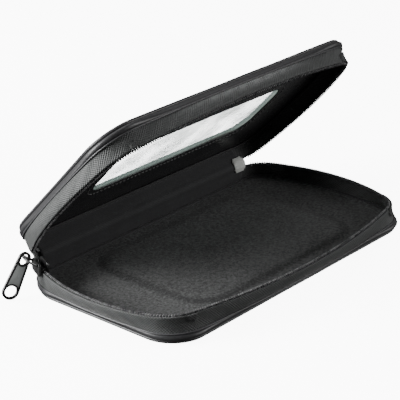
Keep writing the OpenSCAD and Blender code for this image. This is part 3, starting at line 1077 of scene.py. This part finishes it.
outer_plate = slider_piece("slider_outer_plate", shield(), PLATE_T, 0.28 * mm, PLATE_AT[0])
slider_piece("slider_inner_plate", shield(), PLATE_T, 0.28 * mm, PLATE_AT[1])
wedge = [(-5.0 * mm, -0.15 * mm), (-4.4 * mm, -0.24 * mm), (-3.2 * mm, -0.24 * mm), (-2.2 * mm, 0.0),
         (-3.2 * mm, 0.24 * mm), (-4.4 * mm, 0.24 * mm), (-5.0 * mm, 0.15 * mm)]
slider_piece("slider_wedge", wedge, WEDGE_T, 0.05 * mm, WEDGE_AT)
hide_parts("slider_body")


def bail():
    foot = Vector((0, PLATE_AT[0] + PLATE_T - 0.1 * mm, RIM_H + 1.9 * mm))
    head = (BAIL - foot).normalized()
    shoulder = foot + head * ((BAIL - foot).length - BAIL_BEND)
    side = Vector((BAIL_REACH, 0, 0))
    path = [foot - side, foot.lerp(shoulder, 0.5) - side]
    path += [shoulder - side + (Vector((1 - cos(a), 0, 0)) + head * sin(a)) * BAIL_BEND
             for a in (pi / 2 * k / 6 for k in range(7))]
    path += [Vector((-p.x, p.y, p.z)) for p in path[::-1]]
    path = [SLIDER @ p for p in path]
    points, faces = tube(path, [SLIDER.to_3x3() @ Vector((0, -head.z, head.y))] * len(path), BAIL_R, 14)
    # The bail gets a lighter copy of the black enamel: a painted highlight, not wear.
    painted_light = enamel("bail_highlight_enamel", (0.02, 0.02, 0.02, 1), (0.16, 0.16, 0.16, 1), 0.28)
    piece = new_mesh("slider_bail_loop", points, faces, painted_light)
    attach(piece, "slider")
    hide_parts("slider_bail")


bail()

# ---------------------------------------------------------------- pull tab
# A die-cast tab hangs on the bail by a round-ended opening: a raised rim in black enamel
# round a sunk grey panel on both faces, with a round hole in its tip.
TAB_REACH, TAB_HALF, TAB_T = 16.7 * mm, 4.1 * mm, 1.2 * mm
TAB_LEAN = acos((BAIL.z - 0.3 * mm - TAB_HALF) / TAB_REACH)
EYE_R, EYE_FROM, EYE_TO = 1.5 * mm, -0.4 * mm, 1.6 * mm
HOLE_R = 2.75 * mm
TAB_RIM = 1.25 * mm
TOP_HALF = 3.0 * mm
SUNK_TOP_HALF = 3.25 * mm - TAB_RIM
SUNK_T = 0.66 * mm
TAB_TOP = EYE_FROM - EYE_R - TAB_RIM + TOP_HALF


def round_ended(low_r, low, high_r, high, steps=28):
    """A strip along Y with round ends of two radii, closed by lines that touch both."""
    lean = asin((high_r - low_r) / (high - low)) if high > low else 0.0
    ends = [pi + lean + (pi - 2 * lean) * k / steps for k in range(steps + 1)]
    tops = [-lean + (pi + 2 * lean) * k / steps for k in range(steps + 1)]
    return ([(low_r * cos(a), low + low_r * sin(a)) for a in ends]
            + [(high_r * cos(a), high + high_r * sin(a)) for a in tops])


def sunk_outline(grow, steps=14):
    """The panel's edge: nearly straight sides, and ends hollowed round the two openings."""
    low_half, high_half = SUNK_TOP_HALF + grow, TAB_HALF - TAB_RIM + grow
    low_r, high_r = EYE_R + TAB_RIM * 0.8 - grow, HOLE_R + TAB_RIM * 0.8 - grow
    low, high = asin(min(1, low_half / low_r)), asin(min(1, high_half / high_r))
    bottom = [(low_r * sin(a), EYE_TO + low_r * cos(a))
              for a in (-low + 2 * low * k / steps for k in range(steps + 1))]
    top = [(high_r * sin(a), TAB_REACH - high_r * cos(a))
           for a in (high - 2 * high * k / steps for k in range(steps + 1))]
    return bottom + top


def pull_tab():
    hang = Matrix(((0, 0, 1, -TAB_T / 2), (-cos(TAB_LEAN), sin(TAB_LEAN), 0, BAIL.y),
                   (-sin(TAB_LEAN), -cos(TAB_LEAN), 0, BAIL.z), (0, 0, 0, 1)))
    place = SLIDER @ hang @ Matrix.Translation((0, 0, TAB_T / 2))
    outline = round_ended(TOP_HALF, TAB_TOP, TAB_HALF, TAB_REACH)
    eye = round_ended(EYE_R, EYE_FROM, EYE_R, EYE_TO)
    hole = round_ended(HOLE_R, TAB_REACH, HOLE_R, TAB_REACH)
    rim = cut_plate("pull_tab_rim", [outline, eye, sunk_outline(0.0), hole], TAB_T, 0.25 * mm, ENAMEL, place)
    grey = enamel("grey_enamel", (0.62, 0.65, 0.64, 1), (0.85, 0.89, 0.87, 1), 0.42)
    panel = cut_plate("pull_tab_panel", [sunk_outline(0.3 * mm)], SUNK_T, 0.05 * mm, grey, place)
    for piece in (rim, panel):
        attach(piece, "pull")
    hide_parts("pull_tab")


pull_tab()

# ---------------------------------------------------------------- inner layers
# Grey board stiffens both halves, with soft foam under the covers and under the floor pad.
# None of it shows once the case is sewn up. The lid's foam thins out towards the window.


def foam_finish():
    finish = Finish("soft_foam", Roughness=0.95, Specular_IOR_Level=0.1)
    pores = finish.cells(1500)
    finish.colour(finish.mixed(finish.clamped(pores, 0, 0.6), (0.02, 0.02, 0.02, 1), (0.09, 0.09, 0.09, 1)))
    finish.relief(pores, 0.2 * mm, 0.6)
    return finish.material


def board_finish():
    finish = Finish("grey_board", Roughness=0.85, Specular_IOR_Level=0.2)
    fibre = finish.grain(800, 4, 0.7)
    finish.colour(finish.mixed(fibre, (0.16, 0.15, 0.13, 1), (0.34, 0.32, 0.29, 1)))
    finish.relief(fibre, 0.05 * mm, 0.5)
    return finish.material


def lid_foam():
    outline = [(6.2, 3.0), (6.0, 1.6), (7.0, 1.0), (10.0, 0.85), (16.0, 0.82)]
    rings = [panel_ring(PANEL, -inset * mm, z * mm) for inset, z in outline]
    rings += [panel_ring(WINDOW, grow * mm, z * mm) for grow, z in
              ((13.5, 0.85), (9.2, 1.1), (7.0, 1.6), (5.4, 2.4), (5.2, 3.0))]
    points, faces = loft(rings, joined=True)
    piece = new_mesh("lid_foam_layer", points, [f[::-1] for f in faces], FOAM_FINISH)
    settle(piece, "lid", "lid_padding", slot="foam")


FOAM_FINISH, BOARD_FINISH = foam_finish(), board_finish()
lid_foam()
for node in ("base_padding", "base_foam"):
    dress(node, FOAM_FINISH)
for node in ("base_board", "lid_board"):
    dress(node, BOARD_FINISH)
